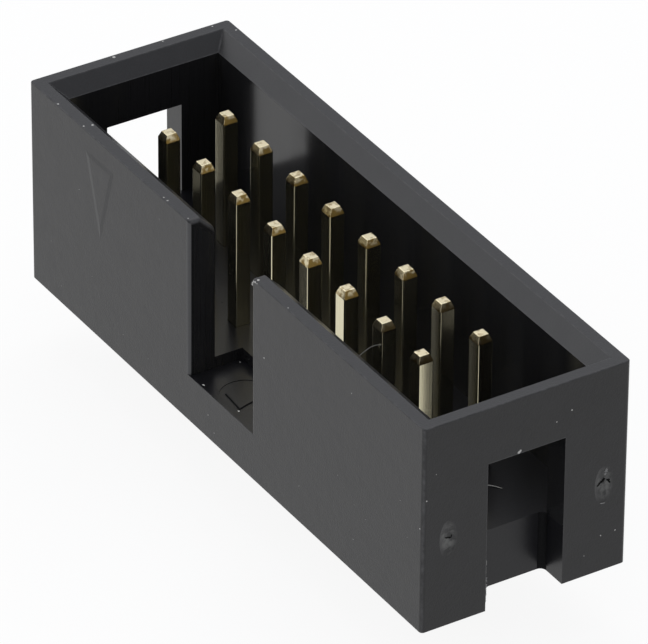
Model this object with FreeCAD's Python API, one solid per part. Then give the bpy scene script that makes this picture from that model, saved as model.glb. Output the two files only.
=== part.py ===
"""Shrouded two-row box header for flat-cable sockets: one moulded housing and its stitched square pins.

All sizes are in millimetres. X runs along the rows of pins and Z points up, away from the board.
The origin is on the board seat, in the middle of the pin grid. The wall with the key slot faces -Y,
and pin 1 is at the -X end of the row beside that wall.
"""
import FreeCAD, Part
import math
import os

os.makedirs("parts", exist_ok=True)

# Pin grid
pitch = 2.54
column_count = 8
row_count = 2

# Square pins
pin_width = 0.64
pin_tip_width = 0.4
pin_tip_length = 0.3
pin_edge_radius = 0.05
mating_length = 5.7
tail_length = 2.7

# Barbs coined on two opposite faces of each pin, buried in the floor of the housing
barb_reach = 0.13
barb_length = 0.6
barb_thickness = 0.34
barb_height = 0.95
pin_fit = 0.01

# Housing shell
end_margin = 5.08
housing_width = 8.8
housing_height = 8.8
long_wall = 1.1
end_wall = 1.1
floor_thickness = 2.5
corner_radius = 0.15
rim_radius = 0.05

# Lead-in chamfer round the mouth, measured along the wall and down it
lead_in_width = 0.6
lead_in_depth = 0.6

# Key slot in the -Y wall, which runs on as a pocket in the floor, with rounded corners at the rim
key_slot_width = 4.4
key_slot_height = 2.0
key_slot_round = 0.2
key_pocket_reach = 1.2

# Windows in the two end walls, open at the foot, where a notch bites into the end of the floor
end_window_width = 3.3
end_window_height = 6.4
end_notch_depth = 1.27
notch_corner_radius = 0.25

# Underside: a shallow relief under each row of pins, and a lead-in at the foot of each pin hole
relief_width = 1.5
relief_depth = 0.25
relief_end_margin = 0.9
hole_lead_in = 0.2

# Pin 1 mark: a low triangle with sloped sides raised on the -Y wall, pointing down
mark_width = 2.1
mark_length = 3.55
mark_top_height = 7.95
mark_height = 0.014
mark_slope_width = 0.2
mark_root = 0.2
mark_shift = 0.15

# Ejector mark: a shallow disc in the floor of the key slot
ejector_mark_diameter = 2.1
ejector_mark_depth = 0.02

# Gate marks: two shallow upright oval dishes in the +X wall
gate_mark_spread = 6.65
gate_mark_height = 3.75
gate_mark_width = 0.7
gate_mark_length = 1.6
gate_mark_depth = 0.07

# How far a cutting solid runs past the face that it opens
overrun = 1.0

# How close two places lie that count as the same
same_place = 0.001

# Sizes that follow from the ones above
grid_length = (column_count - 1) * pitch
grid_width = (row_count - 1) * pitch
housing_length = grid_length + 2 * end_margin
cavity_length = housing_length - 2 * end_wall
cavity_width = housing_width - 2 * long_wall
pin_top = floor_thickness + mating_length
pin_hole_width = pin_width + 2 * pin_fit


def rectangle(length, width, z):
    """The corners of a rectangle centred on the Z axis, at one height."""
    x = length / 2
    y = width / 2
    return [
        FreeCAD.Vector(-x, -y, z),
        FreeCAD.Vector(x, -y, z),
        FreeCAD.Vector(x, y, z),
        FreeCAD.Vector(-x, y, z),
    ]


def flat_face(corners):
    """A flat face inside a closed outline of corners."""
    return Part.Face(Part.makePolygon(corners + corners[:1]))


def block(x_range, y_range, z_range):
    """A plain rectangular solid between two limits on each axis."""
    size = [limits[1] - limits[0] for limits in (x_range, y_range, z_range)]
    return Part.makeBox(*size, FreeCAD.Vector(x_range[0], y_range[0], z_range[0]))


def stack(sections):
    """A solid with flat sides through a stack of outlines, from its foot to its head.

    The foot's corners are taken backwards, so that its face points out of the solid like the rest.
    """
    faces = [flat_face(sections[0][::-1]), flat_face(sections[-1])]
    for lower, upper in zip(sections, sections[1:]):
        for corner in range(len(lower)):
            following = (corner + 1) % len(lower)
            faces.append(flat_face([lower[corner], lower[following], upper[following], upper[corner]]))
    return Part.makeSolid(Part.makeShell(faces))


def prism(points, depth):
    """The solid that a closed outline of points sweeps along the vector depth."""
    return flat_face(points).extrude(depth)


def pin_places():
    """The centre of every pin with its number: odd numbers beside the key slot, even ones behind."""
    places = {}
    for column in range(column_count):
        for row in range(row_count):
            number = column * row_count + row + 1
            x = column * pitch - grid_length / 2
            y = row * pitch - grid_width / 2
            places[number] = FreeCAD.Vector(x, y, 0)
    return places


def barbs(clearance):
    """Both barbs of a pin as one solid, grown sideways by a clearance.

    The ramps face up, the way the pin is pushed in. The square shoulders face down and stay at
    the same height whatever the clearance, so that they seat on the plastic face to face.
    """
    shoulder = pin_width / 2 + barb_reach + clearance
    ramp_end = pin_width / 2 + clearance
    y = -barb_thickness / 2 - clearance
    outline = [
        FreeCAD.Vector(-shoulder, y, barb_height),
        FreeCAD.Vector(shoulder, y, barb_height),
        FreeCAD.Vector(ramp_end, y, barb_height + barb_length),
        FreeCAD.Vector(-ramp_end, y, barb_height + barb_length),
    ]
    return prism(outline, FreeCAD.Vector(0, barb_thickness + 2 * clearance, 0))


def make_pin():
    """A length of square wire with rounded edges, tapered by flats at both ends, with its barbs."""
    wire = prism(rectangle(pin_width, pin_width, -tail_length), FreeCAD.Vector(0, 0, pin_top + tail_length))
    long_edges = [edge for edge in wire.Edges if edge.BoundBox.ZLength > mating_length]
    wire = wire.makeFillet(pin_edge_radius, long_edges)
    middle = (pin_top - tail_length) / 2
    taper = (pin_width - pin_tip_width) / pin_tip_length
    middle_width = pin_tip_width + taper * (middle + tail_length)
    flats = stack([
        rectangle(pin_tip_width, pin_tip_width, -tail_length),
        rectangle(middle_width, middle_width, middle),
        rectangle(pin_tip_width, pin_tip_width, pin_top),
    ])
    return wire.common(flats).fuse(barbs(0)).removeSplitter()


def make_pin_hole():
    """The cutting solid of one pin hole: square bore, barb seat and the lead-in at its foot."""
    lead_in_top = relief_depth + hole_lead_in
    mouth_width = pin_hole_width + 2 * hole_lead_in
    hole = stack([
        rectangle(mouth_width, mouth_width, -overrun),
        rectangle(mouth_width, mouth_width, relief_depth),
        rectangle(pin_hole_width, pin_hole_width, lead_in_top),
        rectangle(pin_hole_width, pin_hole_width, floor_thickness + overrun),
    ])
    return hole.fuse(barbs(pin_fit))


def make_shell():
    """The outer block with its upright edges and the edge of its rim rounded."""
    body = prism(rectangle(housing_length, housing_width, 0), FreeCAD.Vector(0, 0, housing_height))
    upright = [edge for edge in body.Edges if edge.BoundBox.ZLength > housing_height / 2]
    body = body.makeFillet(corner_radius, upright)
    rim = [edge for edge in body.Edges if edge.BoundBox.ZMin > housing_height / 2]
    return body.makeFillet(rim_radius, rim)


def make_cavity():
    """The space that the socket fills, with its lead-in carried on above the rim."""
    lead_in_foot = housing_height - lead_in_depth
    slope = lead_in_width / lead_in_depth
    growth = 2 * slope * (lead_in_depth + overrun)
    return stack([
        rectangle(cavity_length, cavity_width, floor_thickness),
        rectangle(cavity_length, cavity_width, lead_in_foot),
        rectangle(cavity_length + growth, cavity_width + growth, housing_height + overrun),
    ])


def make_key_slot():
    """The key slot through the -Y wall and the pocket that it makes in the floor."""
    half_width = key_slot_width / 2
    pocket_end = key_pocket_reach - cavity_width / 2
    wall_face = -housing_width / 2
    slot = block(
        (-half_width, half_width),
        (wall_face - overrun, pocket_end),
        (key_slot_height, housing_height + overrun),
    )
    mark_centre = FreeCAD.Vector(0, (wall_face + pocket_end) / 2, key_slot_height - ejector_mark_depth)
    mark = Part.makeCylinder(ejector_mark_diameter / 2, ejector_mark_depth + overrun, mark_centre)
    return slot.fuse(mark)


def make_end_window(side):
    """The window through one end wall; side is -1 for the -X wall and 1 for the +X wall.

    Above the floor it opens into the cavity. Below, it is a notch with rounded inner corners, a little
    deeper than the wall is thick, so that the end of the floor stands back from the cavity's end.
    """
    wall_face = cavity_length / 2
    notch_face = housing_length / 2 - end_notch_depth
    outer = housing_length / 2 + overrun
    across = (-end_window_width / 2, end_window_width / 2)
    window = block((wall_face - overrun, outer), across, (floor_thickness, end_window_height))
    notch = block((notch_face, outer), across, (-overrun, floor_thickness))
    inner_corners = [edge for edge in notch.Edges if edge.BoundBox.XMax < notch_face + end_notch_depth / 2]
    inner_corners = [edge for edge in inner_corners if edge.BoundBox.ZLength > floor_thickness]
    notch = notch.makeFillet(notch_corner_radius, inner_corners)
    both = window.fuse(notch)
    if side < 0:
        both = both.mirror(FreeCAD.Vector(0, 0, 0), FreeCAD.Vector(1, 0, 0))
    return both


def make_reliefs():
    """The shallow channels in the underside, one under each row of pins."""
    half_length = grid_length / 2 + relief_end_margin
    channels = []
    for row in range(row_count):
        y = row * pitch - grid_width / 2
        channels.append(block(
            (-half_length, half_length),
            (y - relief_width / 2, y + relief_width / 2),
            (-overrun, relief_depth),
        ))
    return channels


def mark_outline(inset, y):
    """The corners of the pin 1 triangle in the plane at y, its sides moved in by an inset."""
    side = math.hypot(mark_width / 2, mark_length)
    inner_radius = mark_width * mark_length / (mark_width + 2 * side)
    scale = 1 - inset / inner_radius
    centre = FreeCAD.Vector(pin_places()[1].x + mark_shift, y, mark_top_height - inner_radius)
    return [
        centre + FreeCAD.Vector(-mark_width / 2, 0, inner_radius) * scale,
        centre + FreeCAD.Vector(0, 0, inner_radius - mark_length) * scale,
        centre + FreeCAD.Vector(mark_width / 2, 0, inner_radius) * scale,
    ]


def make_pin_one_mark():
    """The low triangle on the -Y wall beside pin 1, with a root that joins it to the wall."""
    wall_face = -housing_width / 2
    return stack([
        mark_outline(0, wall_face + mark_root),
        mark_outline(0, wall_face),
        mark_outline(mark_slope_width, wall_face - mark_height),
    ])


def dish_radius(chord):
    """The radius of the arc that spans a chord and is as deep as a gate mark."""
    return (chord ** 2 / 4 + gate_mark_depth ** 2) / (2 * gate_mark_depth)


def make_gate_marks():
    """Two oval dishes in the +X wall, where the plastic entered the mould, each cut by a ring."""
    long_radius = dish_radius(gate_mark_length)
    short_radius = dish_radius(gate_mark_width)
    ring_radius = long_radius - short_radius
    axis_x = housing_length / 2 + long_radius - gate_mark_depth
    marks = []
    for side in (-1, 1):
        centre = FreeCAD.Vector(axis_x, side * gate_mark_spread / 2, gate_mark_height)
        marks.append(Part.makeTorus(ring_radius, short_radius, centre, FreeCAD.Vector(0, 1, 0)))
    return marks


def round_slot_corners(body):
    """Rounds both jambs of the key slot where they meet the rim and the lead-in."""
    lead_in_foot = housing_height - lead_in_depth
    corners = []
    for edge in body.Edges:
        box = edge.BoundBox
        on_jamb = box.XLength < same_place and abs(abs(box.XMin) - key_slot_width / 2) < same_place
        if on_jamb and box.ZMax > lead_in_foot + same_place and box.YLength > 2 * rim_radius:
            corners.append(edge)
    return body.makeFillet(key_slot_round, corners)


def make_housing():
    """The moulded housing: the shell with the raised mark, and every opening, pin hole and dish cut."""
    pin_hole = make_pin_hole()
    holes = []
    for place in pin_places().values():
        hole = pin_hole.copy()
        hole.translate(place)
        holes.append(hole)
    openings = [make_cavity(), make_key_slot(), make_end_window(-1), make_end_window(1)]
    body = make_shell().fuse(make_pin_one_mark())
    body = body.cut(openings + make_reliefs() + holes + make_gate_marks())
    return round_slot_corners(body)


def save(shape, name):
    """Writes one piece as a STEP file after testing that it is one sound solid."""
    if not shape.isValid() or len(shape.Solids) != 1:
        raise ValueError(name + " is not one sound solid")
    shape.Solids[0].exportStep("parts/" + name + ".step")


save(make_housing(), "housing")
pin = make_pin()
for pin_number, pin_place in pin_places().items():
    placed_pin = pin.copy()
    placed_pin.translate(pin_place)
    save(placed_pin, "pin_{:02d}".format(pin_number))
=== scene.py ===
"""Dresses and lights a shrouded two-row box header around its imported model.

Everything is in metres in the part's own frame: X runs along the rows of pins, +X is the end near the
camera, -Y is the wall with the key slot, and Z points up from the board seat. Sizes are written in
millimetres and turned to metres where a mesh or a shader takes them.
"""
import logging
import math
import random
from dataclasses import dataclass, field
from enum import Enum

import bmesh
import bpy
from bmesh.types import BMesh, BMVert
from bpy.types import Material, Node, NodeSocket, NodeTree, Object
from mathutils import Matrix, Vector, noise


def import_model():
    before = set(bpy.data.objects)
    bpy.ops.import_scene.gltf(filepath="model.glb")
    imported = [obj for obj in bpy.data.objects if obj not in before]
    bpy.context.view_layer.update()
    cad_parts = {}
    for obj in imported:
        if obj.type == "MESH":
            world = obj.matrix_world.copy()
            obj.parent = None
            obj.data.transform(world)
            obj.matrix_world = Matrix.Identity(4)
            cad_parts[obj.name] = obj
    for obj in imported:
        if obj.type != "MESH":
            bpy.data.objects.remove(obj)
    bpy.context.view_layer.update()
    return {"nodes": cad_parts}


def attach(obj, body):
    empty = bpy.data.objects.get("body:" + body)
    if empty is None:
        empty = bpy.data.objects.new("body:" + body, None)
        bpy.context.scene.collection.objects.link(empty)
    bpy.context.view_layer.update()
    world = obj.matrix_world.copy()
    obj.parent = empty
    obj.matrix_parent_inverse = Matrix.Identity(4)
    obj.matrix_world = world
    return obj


LOG = logging.getLogger("box_header")
MM = 0.001
BODY = "root"
WHITE = (1.0, 1.0, 1.0, 1.0)

# How much finer each octave of a ragged edge is than the one before
OCTAVE_STEP = 2.0

# Sizes that several classes share, in millimetres
HALF_LENGTH = 13.97
HALF_WIDTH = 4.4
SLOT_FLOOR = 2.0
PIN_FOOT = -2.7

# Settings of the math nodes that are used most
LARGER = {"operation": "MAXIMUM"}
TIMES = {"operation": "MULTIPLY"}
SIZE_OF = {"operation": "ABSOLUTE"}

Pair = tuple[float, float]
Point = tuple[float, float, float]
Source = Node | NodeSocket


def linear(colour: str) -> tuple[float, float, float, float]:
    """Turns an sRGB hex colour into the linear colour that a shader socket takes.

    Args:
        colour: Six hex digits after a hash sign.

    Returns:
        Red, green and blue in linear light by the sRGB standard's formula, and an alpha of 1.
    """
    parts = [int(colour[start:start + 2], 16) / 255 for start in (1, 3, 5)]
    light = [part / 12.92 if part <= 0.04045 else ((part + 0.055) / 1.055) ** 2.4 for part in parts]
    return (light[0], light[1], light[2], 1.0)


def add_node(tree: NodeTree, kind: str, settings: dict[str | int, object] | None = None,
             links: dict[str | int, Source] | None = None) -> Node:
    """Adds one shader node, with its settings and the links into it.

    Args:
        tree: The node tree that takes the node.
        kind: The node's Blender type, without the ShaderNode that it starts with.
        settings: Values by socket name or number, or else by property name.
        links: What feeds each input, by its name or number: a socket, or a node for its first output.

    Returns:
        The new node.
    """
    node = tree.nodes.new("ShaderNode" + kind)
    for name, value in (settings or {}).items():
        if isinstance(name, str) and hasattr(node, name):
            setattr(node, name, value)
        else:
            node.inputs[name].default_value = value
    for name, source in (links or {}).items():
        socket = source.outputs[0] if isinstance(source, Node) else source
        tree.links.new(socket, node.inputs[name])
    return node


def new_material(name: str) -> tuple[Material, NodeTree, NodeSocket]:
    """Makes an empty node material.

    Args:
        name: The material's name.

    Returns:
        The material, its node tree, and the socket that gives the part's own coordinates in it.
    """
    material = bpy.data.materials.new(name)
    material.use_nodes = True
    tree = material.node_tree
    tree.nodes.clear()
    return material, tree, add_node(tree, "TexCoord").outputs["Object"]


def coat(material: Material, settings: dict[str, float], links: dict[str, Source]) -> Material:
    """Closes a material with the shader of its surface.

    Args:
        material: The material.
        settings: The shader's settings.
        links: What feeds the shader's inputs.

    Returns:
        The same material.
    """
    shader = add_node(material.node_tree, "BsdfPrincipled", settings, links)
    add_node(material.node_tree, "OutputMaterial", None, {"Surface": shader})
    return material


def shown(tree: NodeTree, rays: Node) -> Node:
    """Tells the rays that show a thing from those that only carry its light.

    Args:
        tree: The node tree.
        rays: Its light path node.

    Returns:
        A node that gives 1 for rays from the camera, a mirror or glass, and 0 for the others.
    """
    seen = rays.outputs["Is Camera Ray"]
    for kind in ("Is Glossy Ray", "Is Transmission Ray"):
        seen = add_node(tree, "Math", LARGER, {0: seen, 1: rays.outputs[kind]})
    return seen


def per_mm(size: float) -> float:
    """Gives the texture scale at which one feature is this many millimetres wide."""
    return 1 / (size * MM)


@dataclass(frozen=True)
class Ramp:
    """How a value is stretched: from low to high where it goes in, from start to end where it comes out."""

    low: float = 0.0
    high: float = 1.0
    start: float = 0.0
    end: float = 1.0

    @classmethod
    def around(cls, middle: float, spread: float) -> "Ramp":
        """Makes the ramp that spreads 0 to 1 evenly round a middle value."""
        return cls(start=middle - spread, end=middle + spread)

    def settings(self) -> dict[str, float]:
        """Gives the ramp as the settings of a map range node."""
        return {"From Min": self.low, "From Max": self.high, "To Min": self.start, "To Max": self.end}


class Skin(Enum):
    """How the mould left a face of the housing, with two skins that are painted sheen and painted shade."""

    SPARKED = 0
    POLISHED = 1
    SATIN = 2
    # Painted shade: rounded corners drawn dull and dark
    CORNER = 3
    # Painted sheen: the front of the slot's rounded edge, as grey as the wall beside it
    RUBBED = 4


class Tear(Enum):
    """What a torn streak shows: a whitened lip, or the painted shade of a hollow."""

    LIP = 0
    # The painted shade of a torn hollow
    HOLLOW = 1


class Face(Enum):
    """A flat face of the housing that dust lies on: a point of it, its first direction and its normal."""

    FRONT = ((0, -HALF_WIDTH, 0), (1, 0, 0), (0, -1, 0))
    SLOT = ((0, 0, SLOT_FLOOR), (1, 0, 0), (0, 0, 1))

    def basis(self) -> tuple[Vector, Vector, Vector, Vector]:
        """Gives the face's point, its two directions and its normal."""
        origin, along, normal = (Vector(part) for part in self.value)
        return origin, along, normal.cross(along), normal


@dataclass(frozen=True)
class SparkedPolyester:
    """Black glass-filled polyester, moulded against spark-eroded steel.

    The sparks leave a fine even grain, so the skin is a soft satin: dark straight on, and greyer the
    flatter it is seen. Glass fibres near the skin break the black with a faint grey mottle, and the
    melt left a shallow ripple. Handling leaves pale grains of dust. The outer edges are painted greyer
    in nicks: partly handling wear, partly a painted highlight of light caught on the rounded edges. The
    plastic is stress-whitened where a gate was torn off. Each speck is a place and a width.
    """

    deep: str = "#0c0c0d"
    pale: str = "#19191b"
    ior: float = 1.4
    roughness: float = 0.34
    roughness_spread: float = 0.06
    grain: float = 0.07
    grain_height: float = 0.007
    grain_share: Ramp = Ramp(0.3, 0.7, end=0.55)
    mottle: float = 1.1
    mottle_share: Ramp = Ramp(0.3, 0.7, end=0.45)
    ripple: float = 0.5
    ripple_height: float = 0.006
    edge_radius: float = 0.03
    # Edge grey: partly handling wear, partly a painted highlight of light caught on the rounded edges
    edge_wear_and_highlight: str = "#5a5a5b"
    wear_and_highlight_width: float = 0.09
    wear_and_highlight_lean: Ramp = Ramp(0.99, 0.8)
    lead_in_lean: float = 0.715
    nick: float = 0.3
    nick_share: Ramp = Ramp(0.35, 0.7, 0.1, 0.5)
    whitened: str = "#525250"
    gates: tuple[Point, ...] = ((13.93, -3.28, 3.74), (13.93, 3.42, 3.78))
    gate_half: Point = (0.2, 0.42, 0.9)
    gate_fade: Ramp = Ramp(0.3, 1.0, 1.0, 0.0)
    patch: float = 0.28
    patch_share: Ramp = Ramp(0.4, 0.62, 0.12)
    dust: str = "#a9a8a4"
    dust_spacing: float = 1.4
    dust_width: float = 0.035
    dust_core: float = 0.5
    dust_cover: float = 0.8
    dust_choice: float = 0.72
    specks: tuple[tuple[float, float, float, float], ...] = (
        (-11.93, -4.33, 8.8, 0.08), (-10.05, -4.31, 8.8, 0.08), (-9.95, -3.98, 8.8, 0.1),
        (-4.16, -4.32, 8.8, 0.06), (-3.9, -4.31, 8.8, 0.07), (-13.8, -0.78, 8.8, 0.13),
        (-13.86, 1.41, 8.8, 0.07), (-13.82, 3.61, 8.8, 0.06), (-13.12, 4.25, 8.8, 0.08),
        (-2.45, -4.3, 8.8, 0.06), (2.5, -4.28, 8.8, 0.1), (4.65, -4.33, 8.8, 0.05),
        (13.97, 1.89, 7.51, 0.06), (13.97, 1.25, 7.22, 0.05), (13.97, -4.25, 5.72, 0.06),
        (13.97, 3.93, 1.57, 0.05), (13.97, -0.35, 6.46, 0.11),
        (13.97, -0.29, 6.5, 0.1), (13.97, 3.3, 1.55, 0.05), (13.97, 2.6, 0.9, 0.04),
    )
    speck_blur: float = 0.03
    speck_shift: float = 0.06

    def material(self) -> Material:
        """Builds the material of the outer faces.

        Returns:
            The material.
        """
        material, tree, place = new_material("polyester_black_spark_eroded_mould")
        grain = add_node(tree, "TexNoise", {"Scale": per_mm(self.grain), "Detail": 2.0, "Roughness": 0.6},
                         {"Vector": place})
        mottle = add_node(tree, "TexNoise", {"Scale": per_mm(self.mottle), "Detail": 4.0,
                                             "Roughness": 0.65}, {"Vector": place})
        fine = add_node(tree, "MapRange", self.grain_share.settings(), {"Value": grain})
        coarse = add_node(tree, "MapRange", self.mottle_share.settings(), {"Value": mottle})
        tone = add_node(tree, "Math", {"operation": "ADD", "use_clamp": True}, {0: fine, 1: coarse})
        colour = add_node(
            tree, "Mix", {"data_type": "RGBA", 6: linear(self.deep), 7: linear(self.pale)}, {0: tone})
        dusty = add_node(
            tree, "Math", LARGER, {0: self.dust_mask(tree, place), 1: self.speck_mask(tree, place)})
        edge_wear_and_highlight, whitened = self.wear_and_highlight_mask(tree, place), self.whitening_mask(tree, place)
        # The edges are painted grey, partly as wear and partly as a painted highlight; whitening and dust are
        # the plastic's own
        for mask, cover in ((edge_wear_and_highlight, self.edge_wear_and_highlight), (whitened, self.whitened), (dusty, self.dust)):
            colour = add_node(
                tree, "Mix", {"data_type": "RGBA", 7: linear(cover)}, {0: mask, 6: colour.outputs[2]})
        around = Ramp.around(self.roughness, self.roughness_spread)
        roughness = add_node(tree, "MapRange", around.settings(), {"Value": tone})
        rounded = add_node(tree, "Bevel", {"samples": 8, "Radius": self.edge_radius * MM})
        ripple = add_node(tree, "TexNoise", {"Scale": per_mm(self.ripple), "Detail": 2.0,
                                             "Roughness": 0.6}, {"Vector": place})
        wavy = add_node(
            tree, "Bump", {"Distance": self.ripple_height * MM}, {"Height": ripple, "Normal": rounded})
        bump = add_node(
            tree, "Bump", {"Distance": self.grain_height * MM}, {"Height": grain, "Normal": wavy})
        return coat(material, {"IOR": self.ior},
                    {"Base Color": colour.outputs[2], "Roughness": roughness, "Normal": bump})

    def wear_and_highlight_mask(self, tree: NodeTree, place: NodeSocket) -> Node:
        """Marks the outer edges in small nicks, where the grey is partly handling wear and partly a painted
        highlight.

        The faces are square to the axes, so a normal blurred across an edge leans away from all three.
        The lead-in leans by half a right angle all over, and is left out.

        Args:
            tree: The material's node tree.
            place: The coordinates that the nicks lie in.

        Returns:
            A value from 0 on a flat face to a half on a nicked edge.
        """
        blurred = add_node(tree, "Bevel", {"samples": 6, "Radius": self.wear_and_highlight_width * MM})
        upright = add_node(tree, "VectorMath", SIZE_OF, {0: blurred})
        axes = add_node(tree, "SeparateXYZ", None, {0: upright})
        level = add_node(tree, "Math", LARGER, {0: axes.outputs["X"], 1: axes.outputs["Y"]})
        squareness = add_node(tree, "Math", LARGER, {0: level, 1: axes.outputs["Z"]})
        leaning = add_node(tree, "MapRange", self.wear_and_highlight_lean.settings(), {"Value": squareness})
        in_edge = add_node(
            tree, "Math", {"operation": "GREATER_THAN", 1: self.lead_in_lean}, {0: squareness})
        edge = add_node(tree, "Math", TIMES, {0: leaning, 1: in_edge})
        nicks = add_node(tree, "TexNoise", {"Scale": per_mm(self.nick), "Detail": 3.0}, {"Vector": place})
        nicked = add_node(tree, "MapRange", self.nick_share.settings(), {"Value": nicks})
        return add_node(tree, "Math", TIMES, {0: edge, 1: nicked})

    def whitening_mask(self, tree: NodeTree, place: NodeSocket) -> Node:
        """Marks the stress-whitened plastic in and round both gate dishes.

        Args:
            tree: The material's node tree.
            place: The coordinates that the gates lie in.

        Returns:
            A value of nearly 1 in the middle of a gate, patchy, fading to 0 round it.
        """
        patches = add_node(
            tree, "TexNoise", {"Scale": per_mm(self.patch), "Detail": 3.0}, {"Vector": place})
        patchy = add_node(tree, "MapRange", self.patch_share.settings(), {"Value": patches})
        across = Vector([per_mm(half) for half in self.gate_half])
        fades = []
        for gate in self.gates:
            offset = add_node(
                tree, "VectorMath", {"operation": "SUBTRACT", 1: Vector(gate) * MM}, {0: place})
            scaled = add_node(tree, "VectorMath", {"operation": "MULTIPLY", 1: across}, {0: offset})
            reach = add_node(tree, "VectorMath", {"operation": "LENGTH"}, {0: scaled})
            fades.append(add_node(tree, "MapRange",
                                  {"interpolation_type": "SMOOTHSTEP", **self.gate_fade.settings()},
                                  {"Value": reach.outputs["Value"]}))
        either = add_node(tree, "Math", LARGER, {0: fades[0], 1: fades[1]})
        return add_node(tree, "Math", TIMES, {0: either, 1: patchy})

    def dust_mask(self, tree: NodeTree, place: NodeSocket) -> Node:
        """Marks a few small grains of dust on the skin.

        Args:
            tree: The material's node tree.
            place: The coordinates that the grains lie in.

        Returns:
            A value that is the dust's cover on a grain and 0 beside it.
        """
        cells = add_node(tree, "TexVoronoi", {"Scale": per_mm(self.dust_spacing)}, {"Vector": place})
        shade = add_node(tree, "SeparateColor", None, {"Color": cells.outputs["Color"]})
        reach = self.dust_width / self.dust_spacing
        near = add_node(tree, "MapRange",
                        Ramp(reach * self.dust_core, reach, self.dust_cover, 0.0).settings(),
                        {"Value": cells.outputs["Distance"]})
        chosen = add_node(
            tree, "Math", {"operation": "GREATER_THAN", 1: self.dust_choice}, {0: shade.outputs["Red"]})
        return add_node(tree, "Math", TIMES, {0: near, 1: chosen})

    def speck_mask(self, tree: NodeTree, place: NodeSocket) -> Node:
        """Marks the single specks of dust that lie on the rim and on the near end.

        Args:
            tree: The material's node tree.
            place: The coordinates that the specks lie in.

        Returns:
            A value of 1 on a speck, with a ragged outline, and 0 elsewhere.
        """
        blur = add_node(tree, "TexNoise", {"Scale": per_mm(self.speck_blur)}, {"Vector": place})
        shift = add_node(tree, "VectorMath", {"operation": "SCALE", "Scale": self.speck_shift * MM},
                         {0: blur.outputs["Color"]})
        moved = add_node(tree, "VectorMath", {"operation": "ADD"}, {0: place, 1: shift})
        usual_shift = Vector.Fill(3, self.speck_shift / 2) * MM
        mask = None
        for x, y, z, width in self.specks:
            middle = Vector((x, y, z)) * MM + usual_shift
            reach = add_node(tree, "VectorMath", {"operation": "DISTANCE", 1: middle}, {0: moved})
            inside = add_node(
                tree, "Math", {"operation": "LESS_THAN", 1: width / 2 * MM}, {0: reach.outputs["Value"]})
            mask = add_node(tree, "Math", LARGER, {0: mask, 1: inside}) if mask else inside
        return mask


@dataclass(frozen=True)
class GrainedFinish:
    """A surface with one fine grain, which sets its tone between deep and pale, and its roughness.

    The grain has a width, and a length along Z where a core or a die drew it out into lines. Those are
    drawn as coarse as they need to be to show. A slow swell lies under the grain where that has a height.
    The IOR here is the shader's default, which a metal keeps.
    """

    name: str
    deep: str
    pale: str
    roughness: float
    width: float
    length: float | None = None
    height: float = 0.0
    detail: float = 2.0
    harshness: float = 0.5
    tone_share: Ramp = Ramp()
    roughness_spread: float = 0.0
    swell: float = 2.2
    swell_height: float = 0.0
    ior: float = 1.5
    metallic: float = 0.0

    def material(self) -> Material:
        """Builds the finish.

        Returns:
            The material.
        """
        material, tree, place = new_material(self.name)
        scale = [per_mm(size) for size in (self.width, self.width, self.length or self.width)]
        drawn = add_node(tree, "Mapping", {"Scale": scale}, {"Vector": place})
        grain = add_node(tree, "TexNoise", {"Scale": 1.0, "Detail": self.detail,
                                            "Roughness": self.harshness}, {"Vector": drawn})
        share = add_node(tree, "MapRange", self.tone_share.settings(), {"Value": grain})
        colour = add_node(
            tree, "Mix", {"data_type": "RGBA", 6: linear(self.deep), 7: linear(self.pale)}, {0: share})
        around = Ramp.around(self.roughness, self.roughness_spread)
        roughness = add_node(tree, "MapRange", around.settings(), {"Value": grain})
        relief = {}
        if self.swell_height:
            swell = add_node(
                tree, "TexNoise", {"Scale": per_mm(self.swell), "Detail": 1.0}, {"Vector": place})
            relief["Normal"] = add_node(
                tree, "Bump", {"Distance": self.swell_height * MM}, {"Height": swell})
        if self.height:
            relief["Normal"] = add_node(
                tree, "Bump", {"Distance": self.height * MM}, {"Height": grain} | relief)
        return coat(material, {"IOR": self.ior, "Metallic": self.metallic},
                    {"Base Color": colour.outputs[2], "Roughness": roughness} | relief)


@dataclass(frozen=True)
class PolishedPolyester(GrainedFinish):
    """The same polyester where a polished core formed it: the walls of the cavity, slot and windows.

    It mirrors the pins and the windows softly. Its lines run along Z, the way the part left the core.
    """

    name: str = "polyester_black_polished_core"
    deep: str = "#171718"
    pale: str = "#232324"
    ior: float = 1.4
    roughness: float = 0.15
    roughness_spread: float = 0.05
    width: float = 0.09
    length: float = 4.0
    height: float = 0.0006
    detail: float = 3.0
    harshness: float = 0.6
    swell_height: float = 0.008


@dataclass(frozen=True)
class SatinPolyester(PolishedPolyester):
    """The same polyester on the floors and in the notches, which fine spark-eroded steel formed.

    Its reflections are blurred, and the notches fade softly to black. A faint blue in its colours is a
    painted reflection of the sky, which makes the floors look bluish grey.
    """

    name: str = "polyester_black_satin_core_end"
    # A faint blue in these colours is a painted reflection of the sky
    deep: str = "#0c0c0e"
    pale: str = "#17171b"
    ior: float = 1.38
    roughness: float = 0.3
    width: float = 0.12
    length: float = 0.15
    height: float = 0.003


@dataclass(frozen=True)
class PaintedSheenEdge(SatinPolyester):
    """The same polyester on the front of the slot's rounded left edge, painted as grey as the wall beside it:
    a painted sheen that carries the wall's reflection round the edge.
    """

    name: str = "polyester_black_edge_painted_sheen"
    deep: str = "#3c3c3d"
    pale: str = "#464647"
    ior: float = 1.4
    roughness: float = 0.34


@dataclass(frozen=True)
class TornPolyester(GrainedFinish):
    """The polyester where it was torn or sheared: gate scars and flash, stress-whitened and rough."""

    name: str = "polyester_black_torn"
    deep: str = "#4a4a4a"
    pale: str = "#8e8e8b"
    ior: float = 1.54
    roughness: float = 0.6
    width: float = 0.16
    height: float = 0.02
    detail: float = 4.0
    harshness: float = 0.7
    tone_share: Ramp = Ramp(0.35, 0.7)


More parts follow.
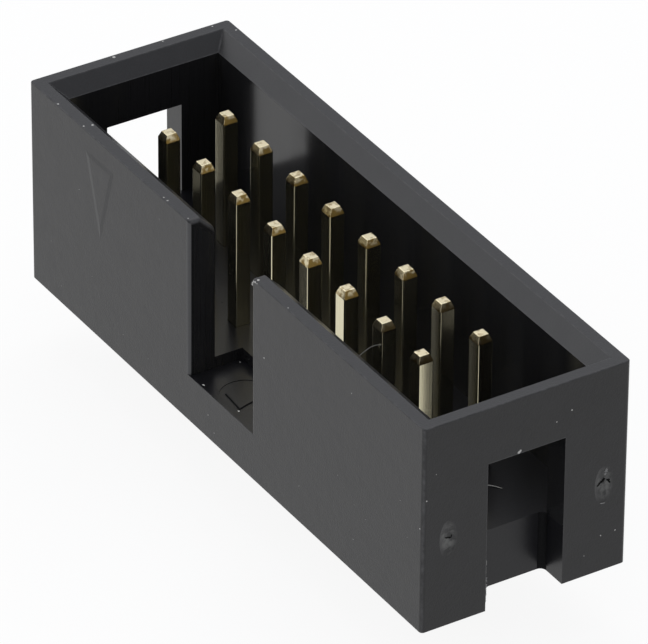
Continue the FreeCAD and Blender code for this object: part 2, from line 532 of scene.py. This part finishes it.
@dataclass(frozen=True)
class TornPaintedShade(GrainedFinish):
    """The bottom of a tear, painted near black and too rough to send light back: painted shade for a hollow
    that the flat streak doesn't model, and the blackest place on the part.
    """

    name: str = "polyester_black_torn_painted_shade"
    deep: str = "#040404"
    pale: str = "#141413"
    ior: float = 1.15
    roughness: float = 0.9
    width: float = 0.05


@dataclass(frozen=True)
class PaintedShadeCorner(GrainedFinish):
    """The rounded corners of notches and slot, drawn dull and dark: painted shade, which stands in for the
    shadow and the dark walls that these corners show.
    """

    name: str = "polyester_black_corner_painted_shade"
    deep: str = "#0d0d0d"
    pale: str = "#1c1c1d"
    ior: float = 1.12
    roughness: float = 0.6
    width: float = 0.08


@dataclass(frozen=True)
class HouseDust(GrainedFinish):
    """Loose dust and lint: dull, off-white and unevenly grey."""

    name: str = "house_dust_loose"
    deep: str = "#8c8c8a"
    pale: str = "#dddcd6"
    roughness: float = 0.9
    width: float = 0.04
    detail: float = 1.0


@dataclass(frozen=True)
class PlatedWire(GrainedFinish):
    """Brass wire, drawn square and flash plated with pale gold over nickel.

    The die leaves fine lines along Z, so reflections smear across the wire and stay crisp along it. A
    thin film of tarnish keeps the dark faces from going quite black, so it isn't metallic all through.
    """

    name: str = "gold_flash_on_drawn_brass_wire"
    deep: str = "#c9c1a1"
    pale: str = "#e0dabd"
    metallic: float = 0.988
    roughness: float = 0.12
    roughness_spread: float = 0.05
    width: float = 0.035
    length: float = 2.5
    height: float = 0.0006


@dataclass(frozen=True)
class CoinedTip:
    """The wire's ends, cut and coined to a taper, then plated.

    The flats are pale. Thin plating leaves them browner towards the shoulder of the taper. The two sheared
    sides, which face along the row, are painted browner still as painted shade, and darker again on the
    last two pairs of pins at the near end, also painted shade. Plating starts and ends at shares of the
    taper from its shoulder. A face near a pin's end belongs to its tip when it slopes more than the slope.
    """

    pale: str = "#d4c9a8"
    brown: str = "#7b6535"
    # Painted shade: the darkest colour, on the sheared sides of the pins at the near end
    near_end_shade: str = "#3b3425"
    near_end_from: float = 4.6
    near_end_shade_share: float = 0.8
    roughness: float = 0.22
    edge_radius: float = 0.04
    smear: float = 0.25
    smear_height: float = 0.003
    smear_share: Ramp = Ramp(0.38, 0.58, -0.5, 0.45)
    sheared_lean: Ramp = Ramp(0.3, 0.8, end=0.75)
    pin_spread: float = 0.2
    top: float = 8.2
    foot: float = PIN_FOOT
    taper: float = 0.3
    slope: float = 0.1
    plating: Pair = (-0.1, 0.6)

    def material(self) -> Material:
        """Builds the material of the tapered ends.

        Returns:
            The material.
        """
        material, tree, place = new_material("gold_flash_on_coined_brass_tip")
        smear = add_node(tree, "TexNoise", {"Scale": per_mm(self.smear), "Detail": 2.0}, {"Vector": place})
        axes = add_node(tree, "SeparateXYZ", None, {0: place})
        middle = (self.top + self.foot) / 2
        height = add_node(tree, "Math", {"operation": "SUBTRACT", 1: middle * MM}, {0: axes.outputs["Z"]})
        reach = add_node(tree, "Math", SIZE_OF, {0: height})
        shoulder = (self.top - self.taper - middle) * MM
        low, high = (shoulder + share * self.taper * MM for share in self.plating)
        plated = add_node(tree, "MapRange", Ramp(low, high).settings(), {"Value": reach})
        # Painted shade: the sides that face along the row are taken off the plating share, so they turn
        # browner
        sheared = self.sheared_mask(tree)
        thin = add_node(tree, "Math", {"operation": "SUBTRACT"}, {0: plated, 1: sheared})
        worn = add_node(tree, "MapRange", self.smear_share.settings(), {"Value": smear})
        pin = add_node(tree, "ObjectInfo")
        own = add_node(tree, "MapRange", Ramp.around(0.0, self.pin_spread).settings(),
                       {"Value": pin.outputs["Random"]})
        patchy = add_node(tree, "Math", {"operation": "ADD"}, {0: worn, 1: own})
        spread = add_node(tree, "Math", {"operation": "ADD", "use_clamp": True}, {0: thin, 1: patchy})
        plain = add_node(
            tree, "Mix", {"data_type": "RGBA", 6: linear(self.brown), 7: linear(self.pale)}, {0: spread})
        # Painted shade: those sides turn darker still on the pins at the near end
        near_end = add_node(
            tree, "Math", {"operation": "GREATER_THAN", 1: self.near_end_from * MM}, {0: axes.outputs["X"]})
        near_end_sides = add_node(tree, "Math", TIMES, {0: near_end, 1: sheared})
        near_end_darkening = add_node(
            tree, "Math", {"operation": "MULTIPLY", 1: self.near_end_shade_share / self.sheared_lean.end}, {0: near_end_sides})
        colour = add_node(
            tree, "Mix", {"data_type": "RGBA", 7: linear(self.near_end_shade)}, {0: near_end_darkening, 6: plain.outputs[2]})
        rounded = add_node(tree, "Bevel", {"samples": 6, "Radius": self.edge_radius * MM})
        bump = add_node(
            tree, "Bump", {"Distance": self.smear_height * MM}, {"Height": smear, "Normal": rounded})
        return coat(material, {"Metallic": 1.0, "Roughness": self.roughness},
                    {"Base Color": colour.outputs[2], "Normal": bump})

    def sheared_mask(self, tree: NodeTree) -> Node:
        """Marks the two sheared sides of a tip, which take painted shade.

        Args:
            tree: The material's node tree.

        Returns:
            A value that grows with how far a face turns along the row.
        """
        facing = add_node(tree, "NewGeometry")
        axes = add_node(tree, "SeparateXYZ", None, {0: facing.outputs["True Normal"]})
        along = add_node(tree, "Math", SIZE_OF, {0: axes.outputs["X"]})
        return add_node(tree, "MapRange", self.sheared_lean.settings(), {"Value": along})


@dataclass(frozen=True)
class PaleSweep:
    """The pale paper that the part stands on.

    Camera and mirror rays see it close to white, with a part of its own shading left in, which keeps the
    soft shadow of the part.
    """

    paper: str = "#f4f4f3"
    glow_share: float = 0.9

    def material(self) -> Material:
        """Builds the material of the floor.

        Returns:
            The material.
        """
        material, tree, _ = new_material("paper_pale_matt")
        share = add_node(tree, "Math", {"operation": "MULTIPLY", 1: self.glow_share},
                         {0: shown(tree, add_node(tree, "LightPath"))})
        matt = add_node(tree, "BsdfDiffuse", {"Color": linear(self.paper)})
        glow = add_node(tree, "Emission", {"Color": WHITE, "Strength": 1.0})
        both = add_node(tree, "MixShader", None, {0: share, 1: matt, 2: glow})
        add_node(tree, "OutputMaterial", None, {"Surface": both})
        return material


def add_piece(name: str, mesh: BMesh, materials: list[Material], slot: str | None) -> Object:
    """Turns a finished mesh into a named object of the scene.

    Args:
        name: The piece's name.
        mesh: Its mesh, in metres, which is freed.
        materials: Its materials, by the index that its faces name.
        slot: Any name for a piece of the product, which is then attached to the part's body, or None for what
            isn't part of the product.

    Returns:
        The new object.
    """
    data = bpy.data.meshes.new(name)
    bmesh.ops.recalc_face_normals(mesh, faces=mesh.faces)
    mesh.to_mesh(data)
    mesh.free()
    for material in materials:
        data.materials.append(material)
    piece = bpy.data.objects.new(name, data)
    bpy.context.scene.collection.objects.link(piece)
    if slot:
        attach(piece, BODY)
    return piece


def close_tube(mesh: BMesh, rings: list[list[BMVert]]) -> None:
    """Joins rings of vertices into a tube with a face at each end.

    Args:
        mesh: The mesh that holds them.
        rings: The rings in order, with the same number of vertices in each.
    """
    for first, second in zip(rings, rings[1:]):
        for corner in range(len(first)):
            following = (corner + 1) % len(first)
            mesh.faces.new((first[corner], first[following], second[following], second[corner]))
    mesh.faces.new(rings[0])
    mesh.faces.new(rings[-1][::-1])


@dataclass
class Housing:
    """The moulded housing: its node keeps its shape, and each face gets the finish its steel gave it, save a
    few rounded edges and corners that get painted sheen and painted shade.

    A face counts as square to an axis while its normal leans less than the squareness, and as a part of
    the front while it is no deeper than the front depth. The rounded left edge of the slot gets a painted
    sheen as grey as the front as far round as the edge turn, and painted shade beyond it.
    """

    node: Object
    half_length: float = HALF_LENGTH
    half_width: float = HALF_WIDTH
    front_depth: float = 0.04
    cavity_length: float = 25.74
    cavity_width: float = 6.6
    floor_top: float = 2.5
    slot_width: float = 4.4
    slot_floor: float = SLOT_FLOOR
    slot_round: float = 0.2
    ejector_room: float = 0.08
    window_width: float = 3.3
    window_top: float = 6.4
    notch_face: float = 12.7
    lead_in_foot: float = 8.2
    tolerance: float = 0.02
    squareness: float = 0.04
    edge_turn: float = 0.87

    def skin_of(self, centre: Vector, normal: Vector) -> Skin:
        """Tells which finish a face gets: the one the mould gave it, save the painted sheen and painted
        shade.

        Args:
            centre: The middle of the face, in millimetres.
            normal: The way that it faces.

        Returns:
            POLISHED on the walls that the core formed, SATIN on its floors and in the notches, the painted
            shade of the corner finish in the notches' rounded corners and behind the slot's left edge, a
            painted sheen as grey as the wall on that edge, and SPARKED elsewhere.
        """
        near = self.tolerance
        x, y, z = abs(centre.x), centre.y, centre.z
        in_cavity = x < self.cavity_length / 2 + near and abs(y) < self.cavity_width / 2 + near
        if in_cavity and self.floor_top - near < z < self.lead_in_foot + near:
            return Skin.SATIN if z < self.floor_top + near else Skin.POLISHED
        slot_half = self.slot_width / 2
        on_edge = y < self.slot_round - self.half_width + near and -slot_half - self.slot_round < centre.x < 0
        # The front of the slot's rounded left edge gets a painted sheen; further round, painted shade
        if on_edge and self.squareness < normal.x and abs(normal.z) < near and self.slot_floor < z:
            return Skin.RUBBED if normal.x < self.edge_turn else Skin.CORNER
        in_slot = x < slot_half + near and self.front_depth - self.half_width < y < 0
        if in_slot and self.slot_floor - self.ejector_room < z < self.lead_in_foot:
            return Skin.SATIN if z < self.slot_floor + near else Skin.POLISHED
        in_window = abs(y) < self.window_width / 2 + near and near < z < self.window_top + near
        if in_window and self.notch_face - near < x < self.half_length - near:
            # Rounded corners in the notches get painted shade
            if z < self.floor_top and min(abs(normal.x), abs(normal.y)) > self.squareness:
                return Skin.CORNER
            return Skin.SATIN if z < self.floor_top else Skin.POLISHED
        return Skin.SPARKED

    def dress(self, finishes: dict[Skin, Material]) -> None:
        """Gives every face of the node its finish.

        Args:
            finishes: The material of each skin.
        """
        data = self.node.data
        data.materials.clear()
        for skin in Skin:
            data.materials.append(finishes[skin])
        for polygon in data.polygons:
            polygon.material_index = self.skin_of(polygon.center / MM, polygon.normal).value


@dataclass
class PinField:
    """The sixteen pins: each node keeps its shape, with one finish on its wire and one on its tips."""

    nodes: list[Object]

    def dress(self, wire: PlatedWire, tip: CoinedTip) -> None:
        """Gives the wire and the tips of every pin their finishes.

        Args:
            wire: The finish of the straight part.
            tip: The finish of both tapered ends.
        """
        finishes = (wire.material(), tip.material())
        for node in self.nodes:
            node.data.materials.clear()
            for finish in finishes:
                node.data.materials.append(finish)
            for polygon in node.data.polygons:
                height = polygon.center.z / MM
                at_end = height > tip.top - tip.taper or height < tip.foot + tip.taper
                polygon.material_index = int(at_end and abs(polygon.normal.z) > tip.slope)


@dataclass(frozen=True)
class Stroke:
    """One torn streak on the +X end: where it starts and ends, across and up, and its width, in mm."""

    start: Pair
    end: Pair
    width: float
    kind: Tear = Tear.HOLLOW


@dataclass
class TornMark:
    """Ragged streaks of torn plastic in a gate dish of the +X end.

    A streak wanders and frays by shares of its half width, and narrows to blunt ends.
    """

    name: str
    strokes: tuple[Stroke, ...]
    dish: Pair
    seed: int
    face_x: float = HALF_LENGTH
    dish_depth: float = 0.07
    dish_width: float = 0.7
    dish_length: float = 1.6
    proud: float = 0.012
    lip_height: float = 0.006
    wander: float = 0.5
    fray: float = 1.0
    narrowing: float = 4.0
    blunt: float = 0.15
    waves: float = 6.0
    line_gap: float = 7.3
    softness: float = 0.6
    octaves: int = 3
    steps: int = 28

    def build(self, lip: Material, hollow: Material) -> Object:
        """Builds the streaks as one piece.

        Args:
            lip: The finish of whitened lips.
            hollow: The finish of dark hollows, which is painted shade.

        Returns:
            The new piece.
        """
        mesh = bmesh.new()
        for stroke in self.strokes:
            self.add_stroke(mesh, stroke)
        return add_piece(self.name, mesh, [lip, hollow], "housing")

    def add_stroke(self, mesh: BMesh, stroke: Stroke) -> None:
        """Adds one streak as a narrow ragged ribbon that lies in the dish.

        Args:
            mesh: The mesh that takes it.
            stroke: The streak.
        """
        start, end = Vector(stroke.start), Vector(stroke.end)
        across = (end - start).orthogonal().normalized() * stroke.width / 2
        lift = self.lip_height if stroke.kind is Tear.LIP else 0.0
        rows = []
        for step in range(self.steps + 1):
            share = step / self.steps
            middle = start.lerp(end, share) + across * self.ragged(share, self.wander, 0)
            full = min(1.0, self.narrowing * min(share, 1 - share) + self.blunt)
            left = middle - across * full * (1 + self.ragged(share, self.fray, 1))
            right = middle + across * full * (1 + self.ragged(share, self.fray, 2))
            rows.append(
                [self.place(left, 0.0, mesh), self.place(middle, lift, mesh), self.place(right, 0.0, mesh)])
        for first, second in zip(rows, rows[1:]):
            for side in range(2):
                corners = (first[side], first[side + 1], second[side + 1], second[side])
                mesh.faces.new(corners).material_index = stroke.kind.value

    def ragged(self, share: float, height: float, line: int) -> float:
        """Gives the raggedness of one line of a streak at a share of its length."""
        spot = Vector((share * self.waves, line * self.line_gap, self.seed))
        return height * noise.fractal(spot, self.softness, OCTAVE_STEP, self.octaves)

    def place(self, spot: Vector, lift: float, mesh: BMesh) -> BMVert:
        """Adds a vertex that lies in the dish.

        Args:
            spot: Its place across and up the wall, in millimetres.
            lift: How far it is raised.
            mesh: The mesh that takes it.

        Returns:
            The vertex.
        """
        long_radius = self.dish_radius(self.dish_length)
        short_radius = self.dish_radius(self.dish_width)
        y_off, z_off = spot.x - self.dish[0], spot.y - self.dish[1]
        hollow = self.dish_depth - y_off ** 2 / (2 * short_radius) - z_off ** 2 / (2 * long_radius)
        x = min(self.face_x - hollow + self.proud + lift, self.face_x)
        return mesh.verts.new(Vector((x, spot.x, spot.y)) * MM)

    def dish_radius(self, chord: float) -> float:
        """Gives the radius of the arc across the dish, in millimetres, from its chord and depth."""
        return (chord ** 2 / 4 + self.dish_depth ** 2) / (2 * self.dish_depth)


@dataclass
class Flash:
    """A thin ragged fin of plastic that the mould left along an edge.

    Its tip starts at a share of the thickness and is a share of it wide. Its height waves round a base
    share of the most, and its ends slope.
    """

    name: str
    path: tuple[Point, ...]
    out: Point
    thickness: Point
    most: float
    seed: int
    tip_start: float = 0.3
    tip_share: float = 0.2
    base: float = 0.45
    wave: float = 0.75
    waves: float = 11.0
    noise_level: float = 0.3
    softness: float = 0.5
    octaves: int = 4
    least: float = 0.012
    foot: float = 0.004
    end_slope: float = 12.0
    steps: int = 60

    def build(self, torn: Material) -> Object:
        """Builds the fin as a closed thin wall.

        Args:
            torn: The finish of torn plastic.

        Returns:
            The new piece.
        """
        mesh = bmesh.new()
        out, thickness = Vector(self.out), Vector(self.thickness)
        rows = []
        for step in range(self.steps + 1):
            share = step / self.steps
            root = self.root(share)
            tip = root + out * self.height_at(share) + thickness * self.tip_start
            corners = (root, root + thickness, tip + thickness * self.tip_share, tip)
            rows.append([mesh.verts.new(corner * MM) for corner in corners])
        close_tube(mesh, rows)
        return add_piece(self.name, mesh, [torn], "housing")

    def root(self, share: float) -> Vector:
        """Finds the fin's root.

        Args:
            share: How far along the path, from 0 to 1.

        Returns:
            The place of the root, in millimetres.
        """
        legs = len(self.path) - 1
        leg = min(int(share * legs), legs - 1)
        return Vector(self.path[leg]).lerp(Vector(self.path[leg + 1]), share * legs - leg)

    def height_at(self, share: float) -> float:
        """Works out the fin's height.

        Args:
            share: How far along the path, from 0 to 1.

        Returns:
            The height, in millimetres.
        """
        spot = Vector((share * self.waves, self.seed, self.noise_level))
        wave = noise.fractal(spot, self.softness, OCTAVE_STEP, self.octaves)
        ends = min(1.0, share * self.end_slope, (1 - share) * self.end_slope)
        return max(self.least, self.most * (self.base + self.wave * wave)) * ends + self.foot


@dataclass
class Dust:
    """Grains of dust on the front wall and in the slot, each a small flat crumb.

    Some grains are listed one by one, with their own places and widths. The others are strewn, each
    between the limits given for its place, its width and how narrow it is.
    """

    on_front: tuple[Point, ...] = (
        (2.27, 8.52, 0.1), (2.29, 8.61, 0.09), (2.37, 8.7, 0.1), (2.48, 8.74, 0.1), (2.6, 8.74, 0.06),
        (13.78, 4.48, 0.06), (3.11, 5.79, 0.07), (-0.87, 1.02, 0.05), (-0.44, 0.46, 0.05),
    )
    in_slot: tuple[Point, ...] = ((-1.42, -4.26, 0.13), (-2.05, -2.29, 0.07), (0.76, -4.06, 0.09))
    strewn: int = 14
    strewn_along: Pair = (2.6, 13.5)
    strewn_up: Pair = (0.3, 8.4)
    strewn_width: Pair = (0.025, 0.045)
    narrowness: Pair = (0.5, 0.9)
    thickness: float = 0.002
    crumbling: float = 0.5
    crumb_waves: float = 3.0
    seed: int = 20

    def build(self, dust: Material) -> Object:
        """Builds all the grains as one piece.

        Args:
            dust: The finish of loose dust.

        Returns:
            The new piece.
        """
        chance = random.Random(self.seed)
        mesh = bmesh.new()
        groups = ((Face.FRONT, self.on_front), (Face.SLOT, self.in_slot),
                  (Face.FRONT, self.strew(chance)))
        for face, grains in groups:
            for grain in grains:
                self.add_grain(mesh, face, grain, chance)
        return add_piece("dust_grains", mesh, [dust], "housing")

    def strew(self, chance: random.Random) -> list[Point]:
        """Strews further grains over the front wall.

        Args:
            chance: The seeded source of chance.

        Returns:
            The grains, each with its place on the wall and its width in millimetres.
        """
        grains = []
        for _ in range(self.strewn):
            along = chance.uniform(*self.strewn_along) * chance.choice((-1, 1))
            up = chance.uniform(*self.strewn_up)
            grains.append((along, up, chance.uniform(*self.strewn_width)))
        return grains

    def add_grain(self, mesh: BMesh, face: Face, grain: Point, chance: random.Random) -> None:
        """Adds one grain.

        Args:
            mesh: The mesh that takes it.
            face: The face that it lies on.
            grain: Its place along and across that face, and its width, in millimetres.
            chance: The seeded source of chance.
        """
        along, across, width = grain
        origin, first, second, normal = face.basis()
        centre = origin + first * along + second * across
        squash = Matrix((first, second, normal)).transposed().to_4x4()
        made = bmesh.ops.create_icosphere(mesh, subdivisions=2, radius=0.5)
        turn = Matrix.Rotation(chance.uniform(0, math.tau), 4, "Z")
        size = Matrix.Diagonal((width, width * chance.uniform(*self.narrowness), self.thickness, 1))
        shape = squash @ size @ turn
        for vertex in made["verts"]:
            spot = vertex.co * self.crumb_waves + Vector((along, across, 0))
            crumb = 1 + self.crumbling * noise.noise(spot)
            vertex.co = (centre + (shape @ (vertex.co * crumb))) * MM


@dataclass
class Lint:
    """A curved lint fibre caught between two places, thinner by a share at its ends."""

    name: str
    points: tuple[Point, ...]
    radius: float = 0.012
    thinning: float = 0.4
    sides: int = 8
    steps: int = 32
    look: float = 0.01

    def build(self, dust: Material) -> Object:
        """Builds the fibre as a thin tube along a smooth curve through its control points.

        Args:
            dust: The finish of loose dust.

        Returns:
            The new piece.
        """
        mesh = bmesh.new()
        rings = []
        for step in range(self.steps + 1):
            share = step / self.steps
            here = self.place(share)
            before, after = self.place(max(0, share - self.look)), self.place(min(1, share + self.look))
            ahead = (after - before).normalized()
            side = ahead.orthogonal().normalized()
            up = ahead.cross(side)
            thin = self.radius * (1 - self.thinning * abs(2 * share - 1))
            ring = []
            for number in range(self.sides):
                turn = math.tau * number / self.sides
                spoke = side * math.cos(turn) + up * math.sin(turn)
                ring.append(mesh.verts.new((here + spoke * thin) * MM))
            rings.append(ring)
        close_tube(mesh, rings)
        return add_piece(self.name, mesh, [dust], "housing")

    def place(self, share: float) -> Vector:
        """Finds a point of the fibre, by repeated division of its control points.

        Args:
            share: How far along the fibre, from 0 to 1.

        Returns:
            The point, in millimetres.
        """
        points = [Vector(point) for point in self.points]
        while len(points) > 1:
            points = [first.lerp(second, share) for first, second in zip(points, points[1:])]
        return points[0]


@dataclass(frozen=True)
class Softbox:
    """A square lamp: its middle and its side in millimetres, and its radiance, where 1 shows as white."""

    name: str
    middle: Point
    side: float
    radiance: float

    def build(self, target: Vector) -> None:
        """Adds the lamp.

        Args:
            target: The point of the part that it faces, in millimetres.
        """
        place = Vector(self.middle)
        data = bpy.data.lights.new(self.name, "AREA")
        data.shape = "SQUARE"
        data.size = self.side * MM
        data.energy = self.radiance * math.pi * (self.side * MM) ** 2
        lamp = bpy.data.objects.new(self.name, data)
        aim = (place - target).to_track_quat("Z", "Y").to_matrix().to_4x4()
        lamp.matrix_world = Matrix.Translation(place * MM) @ aim
        bpy.context.scene.collection.objects.link(lamp)


@dataclass
class Studio:
    """The camera, the lamps, the world and the pale floor."""

    azimuth: float = 57.957
    elevation: float = 32.958
    roll: float = 0.460
    aim: Vector = field(default_factory=lambda: Vector((-1.5537, 1.0941, 2.9264)))
    distance: float = 291.3013
    lens: float = 431.32
    sensor: float = 36.0
    clip_start: float = 10.0
    clip_end: float = 5000.0
    floor_z: float = PIN_FOOT
    floor_half: float = 900.0
    sky_for_matt: float = 0.75
    sky_tint: str = "#f6f8ff"
    lamp_target: Point = (0, 0, 4)
    lamps: tuple[Softbox, ...] = (
        Softbox("softbox_overhead", (-110, 90, 300), side=260, radiance=1.6),
        Softbox("softbox_front_left", (-250, -225, 178), side=230, radiance=1.4),
    )

    def build(self) -> None:
        """Builds the camera, the world, the floor and the lamps, in that order."""
        self.build_camera()
        self.build_world()
        self.build_floor()
        for lamp in self.lamps:
            lamp.build(Vector(self.lamp_target))

    def build_camera(self) -> None:
        """Places the camera at the viewpoint of the photograph."""
        turn, rise = math.radians(self.azimuth), math.radians(self.elevation)
        back = Vector((math.sin(turn) * math.cos(rise), -math.cos(turn) * math.cos(rise), math.sin(rise)))
        level = Vector((math.cos(turn), math.sin(turn), 0))
        upright = back.cross(level)
        tilt = math.radians(self.roll)
        right = level * math.cos(tilt) + upright * math.sin(tilt)
        up = back.cross(right)
        data = bpy.data.cameras.new("camera")
        data.sensor_width = self.sensor
        data.lens = self.lens
        data.clip_start = self.clip_start * MM
        data.clip_end = self.clip_end * MM
        camera = bpy.data.objects.new("camera", data)
        place = (self.aim + back * self.distance) * MM
        camera.matrix_world = Matrix.Translation(place) @ Matrix((right, up, back)).transposed().to_4x4()
        bpy.context.scene.collection.objects.link(camera)
        bpy.context.scene.camera = camera

    def build_world(self) -> None:
        """Surrounds the part with white for the camera, a cooler white for mirrors and dimmer light."""
        world = bpy.data.worlds.new("studio_white")
        world.use_nodes = True
        tree = world.node_tree
        tree.nodes.clear()
        rays = add_node(tree, "LightPath")
        strength = add_node(
            tree, "MapRange", Ramp(start=self.sky_for_matt).settings(), {"Value": shown(tree, rays)})
        tint = add_node(tree, "Mix", {"data_type": "RGBA", 6: linear(self.sky_tint), 7: WHITE},
                        {0: rays.outputs["Is Camera Ray"]})
        sky = add_node(tree, "Background", None, {"Color": tint.outputs[2], "Strength": strength})
        add_node(tree, "OutputWorld", None, {"Surface": sky})
        bpy.context.scene.world = world

    def build_floor(self) -> None:
        """Lays the pale floor under the solder tails."""
        mesh = bmesh.new()
        bmesh.ops.create_grid(mesh, x_segments=8, y_segments=8, size=self.floor_half * MM)
        bmesh.ops.translate(mesh, verts=mesh.verts, vec=Vector((0, 0, self.floor_z * MM)))
        floor = add_piece("pale_floor", mesh, [PaleSweep().material()], None)


def build_small_pieces(torn: Material, hollow: Material, dull: Material, dust: Material) -> list[Object]:
    """Builds the tears in the gate dishes, the flash, the mould's witness lines, the dust and the lint.

    Args:
        torn: The finish of torn plastic.
        hollow: The finish of dark hollows, which is painted shade.
        dull: The finish of dull, dark plastic: the corners' painted shade, which the witness lines share.
        dust: The finish of dust and lint.

    Returns:
        The new pieces.
    """
    tears = [
        TornMark("gate_tear_front", (
            Stroke((-3.41, 3.81), (-3.14, 3.74), 0.05),
            Stroke((-3.16, 3.74), (-3.13, 3.88), 0.035),
        ), dish=(-3.325, 3.75), seed=3),
        TornMark("gate_tear_back", (
            Stroke((3.1, 3.74), (3.28, 3.86), 0.07),
            Stroke((3.24, 3.84), (3.46, 3.98), 0.12),
            Stroke((3.5, 3.92), (3.63, 3.86), 0.08),
            Stroke((3.58, 3.88), (3.64, 3.74), 0.06),
            Stroke((3.42, 4.12), (3.5, 4.46), 0.1, Tear.LIP),
            Stroke((3.22, 2.98), (3.46, 2.93), 0.05, Tear.LIP),
        ), dish=(3.325, 3.75), seed=8),
    ]
    fins = [
        Flash("flash_beside_notch", ((13.955, -1.652, 2.4), (13.955, -1.652, 0.3)),
              out=(0, 1, 0), thickness=(-0.02, 0, 0), most=0.05, seed=9),
        Flash("flash_at_notch_foot", ((13.95, -1.66, 1.5), (13.95, -1.66, 0.8)),
              out=(0, 1, -0.3), thickness=(-0.04, 0, 0), most=0.12, seed=4),
    ]
    witnesses = [
        Flash("witness_line_along_slot", ((-0.5, -3.9, SLOT_FLOOR), (0.64, -3.98, SLOT_FLOOR)),
              out=(0, 0, 1), thickness=(0, 0.07, 0), most=0.01, seed=5),
        Flash("witness_line_across_slot",
              ((0.64, -3.98, SLOT_FLOOR), (0.52, -3.6, SLOT_FLOOR), (0.45, -3.25, SLOT_FLOOR)),
              out=(0, 0, 1), thickness=(0.06, 0, 0), most=0.01, seed=6),
    ]
    loose = [
        Dust(),
        Lint("lint_by_pin_13", ((6.67, -1.6, 7.4), (6.1, -1.75, 7.2), (5.9, -2.0, 6.6), (5.7, -2.3, 6.3))),
        Lint("lint_on_floor", ((10.1, 0.15, 2.53), (10.2, 0.8, 2.57), (10.55, 0.95, 2.54),
                               (10.75, 1.1, 2.53)), radius=0.018),
    ]
    made = [tear.build(torn, hollow) for tear in tears]
    for pieces, finish in ((fins, torn), (witnesses, dull), (loose, dust)):
        made += [piece.build(finish) for piece in pieces]
    return made


def main() -> None:
    """Builds the studio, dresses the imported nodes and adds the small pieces, in that order."""
    logging.basicConfig(level=logging.INFO, format="%(message)s")
    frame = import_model()
    bpy.context.scene.view_settings.view_transform = "Standard"

    Studio().build()
    LOG.info("studio: camera, world, floor and two softboxes")

    nodes = frame["nodes"]
    finishes = {
        Skin.SPARKED: SparkedPolyester().material(),
        Skin.POLISHED: PolishedPolyester().material(),
        Skin.SATIN: SatinPolyester().material(),
        Skin.CORNER: PaintedShadeCorner().material(),
        Skin.RUBBED: PaintedSheenEdge().material(),
    }
    torn, hollow, dust = TornPolyester().material(), TornPaintedShade().material(), HouseDust().material()
    Housing(nodes["housing"]).dress(finishes)
    LOG.info("housing: %d faces dressed", len(nodes["housing"].data.polygons))
    pins = [nodes[name] for name in sorted(nodes) if name.startswith("pin_")]
    PinField(pins).dress(PlatedWire(), CoinedTip())
    LOG.info("pins: %d dressed", len(pins))

    for piece in build_small_pieces(torn, hollow, finishes[Skin.CORNER], dust):
        LOG.info("%s: %d faces", piece.name, len(piece.data.polygons))


if __name__ == "__main__":
    main()
